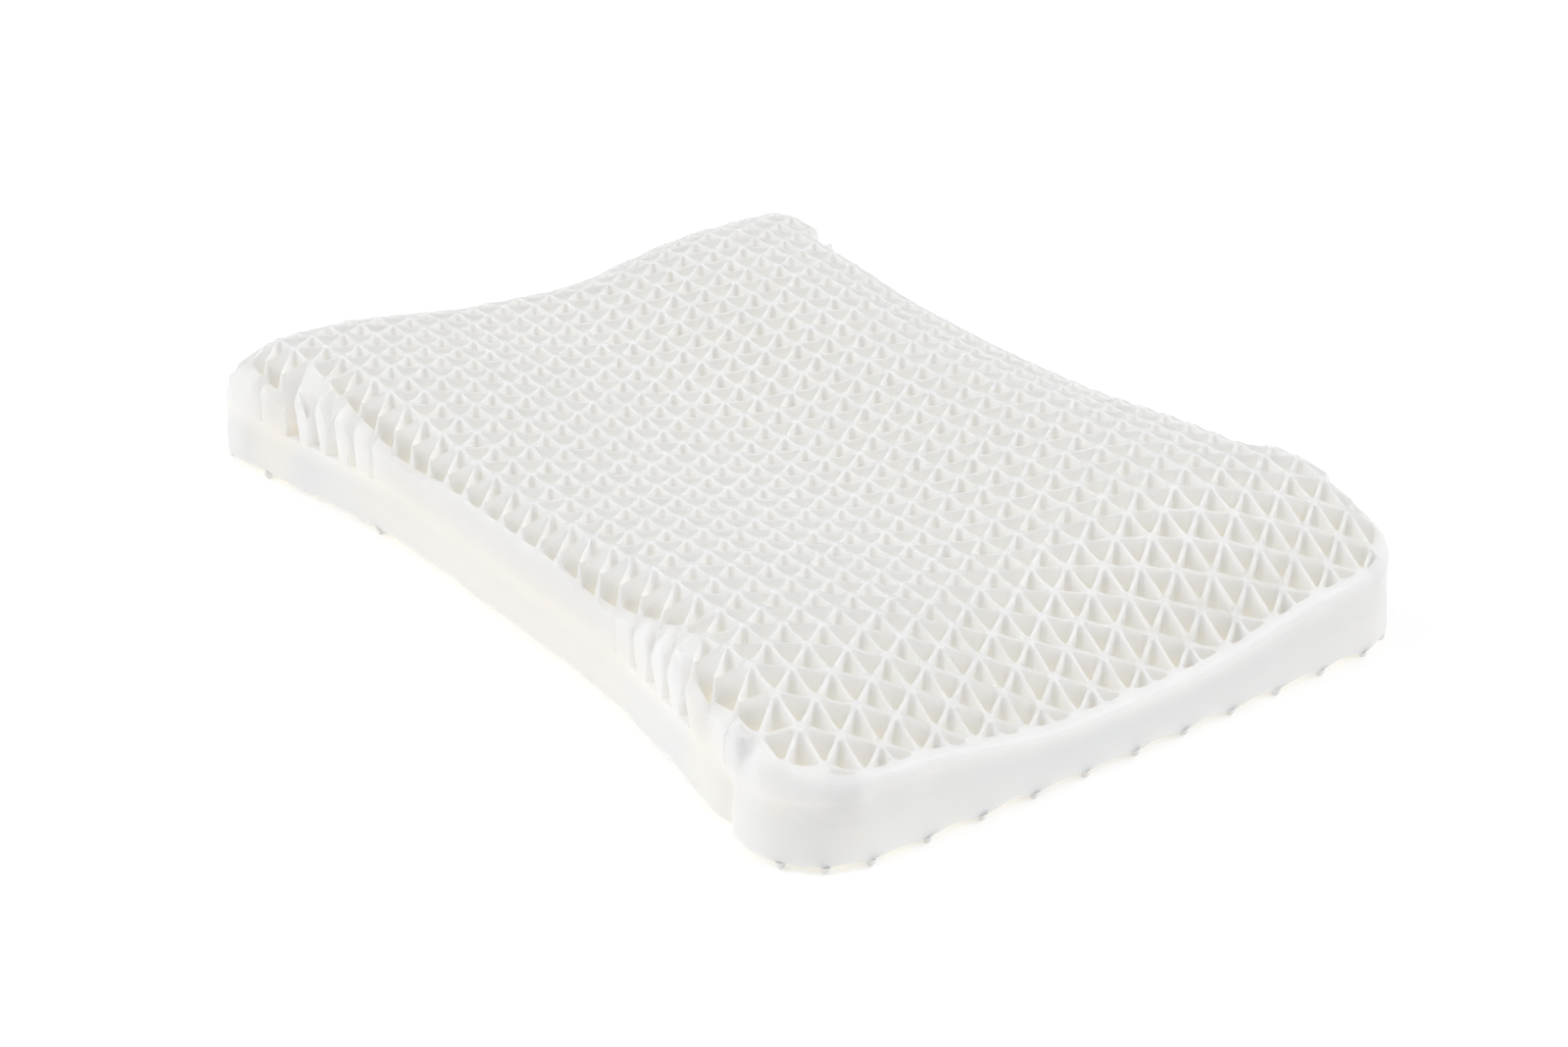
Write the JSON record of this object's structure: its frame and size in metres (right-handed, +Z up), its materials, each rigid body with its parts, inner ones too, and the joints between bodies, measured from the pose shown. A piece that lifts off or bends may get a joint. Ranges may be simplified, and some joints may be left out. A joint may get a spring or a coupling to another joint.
{
  "type": "grid pillow",
  "caption": "Open-grid contour pillow moulded in one piece: a plain band round an even net of triangular cells that rises in a low front roll and a higher rear roll.",
  "frame": {"origin": "centre of the under side, on the surface that the pillow rests on", "axes": "+X along the length, +Y across the width towards the higher rear roll, +Z up"},
  "size_m": [0.6, 0.404, 0.0881],
  "materials": {
    "elastomer": "satin"
  },
  "bodies": {
    "root": {"pillow": "elastomer"}
  },
  "joints": []
}
